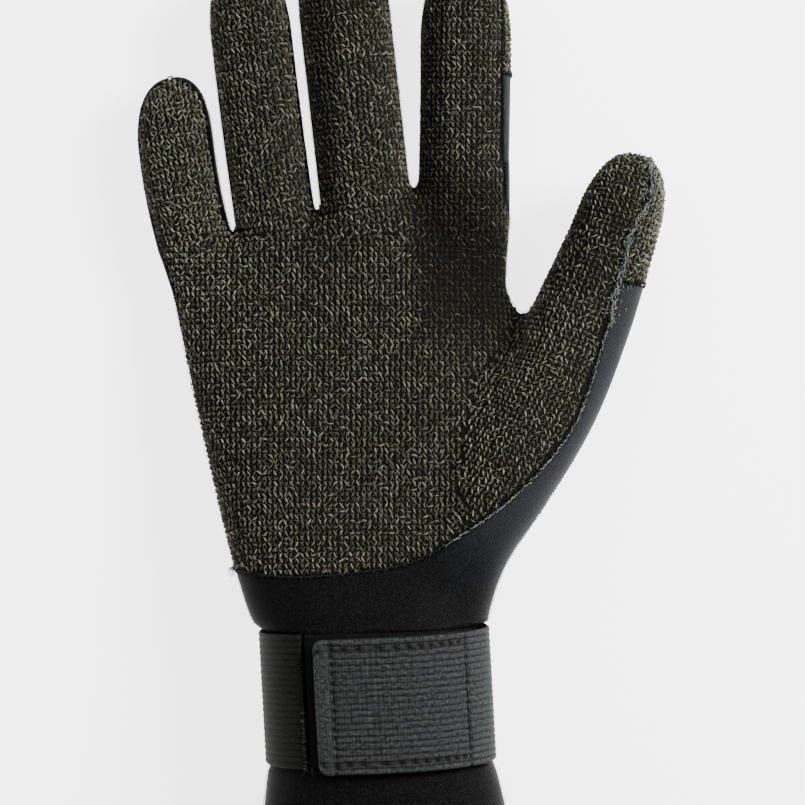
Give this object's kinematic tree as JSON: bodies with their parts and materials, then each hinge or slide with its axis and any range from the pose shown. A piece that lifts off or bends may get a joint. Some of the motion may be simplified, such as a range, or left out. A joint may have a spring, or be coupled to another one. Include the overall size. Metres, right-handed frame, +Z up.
{
  "type": "diving glove",
  "caption": "Right-hand neoprene diving glove with a knit-faced palm, lying palm up, its elastic wrist strap fastened over the front of the wrist.",
  "frame": {"origin": "on the surface that the glove lies on, under the palm", "axes": "+X towards the thumb side, +Y towards the fingertips, +Z up out of the palm"},
  "size_m": [0.1552, 0.2813, 0.0486],
  "materials": {
    "knit": "coarse knit",
    "neoprene": "matte jersey",
    "elastic": "ribbed",
    "fastener": "napped"
  },
  "bodies": {
    "root": {"palm_panel": "knit", "thumb_cap": "knit", "index_cap": "knit", "fourchette_little_ring": "neoprene", "fourchette_ring_middle": "neoprene", "fourchette_middle_index": "neoprene", "wrist_panel": "neoprene", "back_panel": "neoprene", "strap_band": "elastic", "loop_patch": "fastener", "hook_pad": "fastener"}
  },
  "joints": []
}
